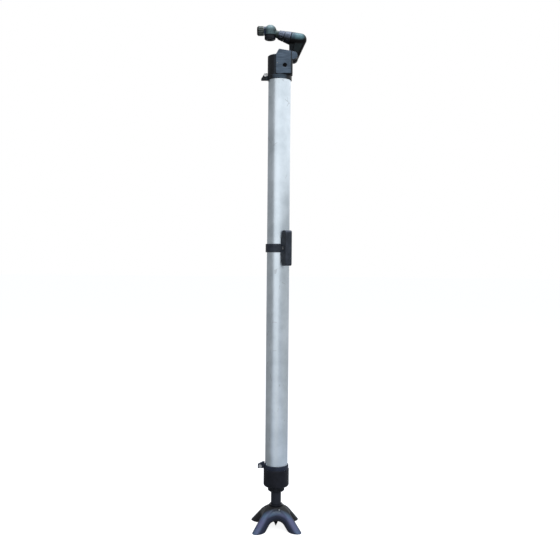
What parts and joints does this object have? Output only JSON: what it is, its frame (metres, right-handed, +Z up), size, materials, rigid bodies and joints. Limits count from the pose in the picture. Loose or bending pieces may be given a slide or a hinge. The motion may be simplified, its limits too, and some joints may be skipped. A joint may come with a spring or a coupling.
{
  "type": "manual bilge pump",
  "caption": "Upright hand bilge pump: a barrel slides on a plunger that stands in a legged rubber foot; a folding spout arm with a tap tops the head.",
  "frame": {"origin": "on the floor, on the axis of barrel and plunger", "axes": "+Z up along the barrel; +X towards the spout's pivot and elbow; -Y is the side of the head's flat face and of the storage clip"},
  "size_m": [0.0932, 0.091, 0.8945],
  "materials": {
    "foot_rubber": "matt, slightly dusty",
    "dark_plastic": "satin",
    "black_plastic": "satin",
    "plunger_dark": "satin",
    "head_plastic": "satin",
    "arm_plastic": "satin",
    "knob_plastic": "satin",
    "barrel_metal": "brushed, anodised",
    "stainless": "satin",
    "ball_steel": "polished",
    "blackened_steel": "satin, blackened",
    "acetal_white": "smooth",
    "guide_ivory": "smooth",
    "seal_rubber": "smooth"
  },
  "bodies": {
    "foot_plunger": {"foot": "foot_rubber", "foot_socket": "dark_plastic", "foot_pin": "stainless", "intake_nose": "black_plastic", "plunger_tube": "plunger_dark", "bumper": "seal_rubber", "piston_body": "acetal_white", "piston_seals": "seal_rubber", "piston_guide_ring": "guide_ivory", "piston_cage": "acetal_white"},
    "piston_ball": {"piston_ball": "ball_steel"},
    "barrel": {"barrel_tube": "barrel_metal", "bottom_cap": "black_plastic", "gland_nut": "black_plastic", "wiper_ring": "seal_rubber", "rod_seal": "seal_rubber", "guide_bush": "guide_ivory", "barrel_gaskets": "seal_rubber", "bottom_clamp": "black_plastic", "top_clamp": "black_plastic", "clamp_screws": "stainless", "clamp_nuts": "stainless", "head_body": "head_plastic", "outlet_seat": "acetal_white", "outlet_cage": "acetal_white", "seat_screw": "blackened_steel", "locating_pin": "stainless", "pivot_pin": "stainless", "pin_orings": "seal_rubber", "clip_strap": "dark_plastic", "clip_block": "dark_plastic", "clip_screw": "stainless", "clip_nut": "stainless"},
    "outlet_ball": {"outlet_ball": "ball_steel"},
    "spout_arm": {"arm_elbow": "arm_plastic", "arm_sleeve": "dark_plastic", "union_nut": "dark_plastic", "union_gasket": "seal_rubber", "tap_body": "arm_plastic", "tap_gland_nut": "dark_plastic", "outlet_ring": "black_plastic"},
    "tap_valve": {"tap_plug": "dark_plastic", "stem_oring": "seal_rubber", "tap_knob": "knob_plastic", "knob_screw": "stainless"}
  },
  "joints": [
    {"name": "barrel_slide", "type": "slide", "parent": "foot_plunger", "child": "barrel", "axis": [0, 0, 1], "range_m": [0, 0.67]},
    {"name": "piston_valve_lift", "type": "slide", "parent": "foot_plunger", "child": "piston_ball", "axis": [0, 0, 1], "range_m": [0, 0.003]},
    {"name": "outlet_valve_lift", "type": "slide", "parent": "barrel", "child": "outlet_ball", "axis": [0, 0, 1], "range_m": [0, 0.003]},
    {"name": "spout_hinge", "type": "hinge", "parent": "barrel", "child": "spout_arm", "pos_m": [0.0244, 0.0006, 0.8353], "axis": [0, 1, 0], "range_deg": [0, 100]},
    {"name": "tap_turn", "type": "hinge", "parent": "spout_arm", "child": "tap_valve", "pos_m": [-0.0172, 0.0006, 0.8835], "axis": [1, 0, 0], "range_deg": [0, 90]}
  ]
}
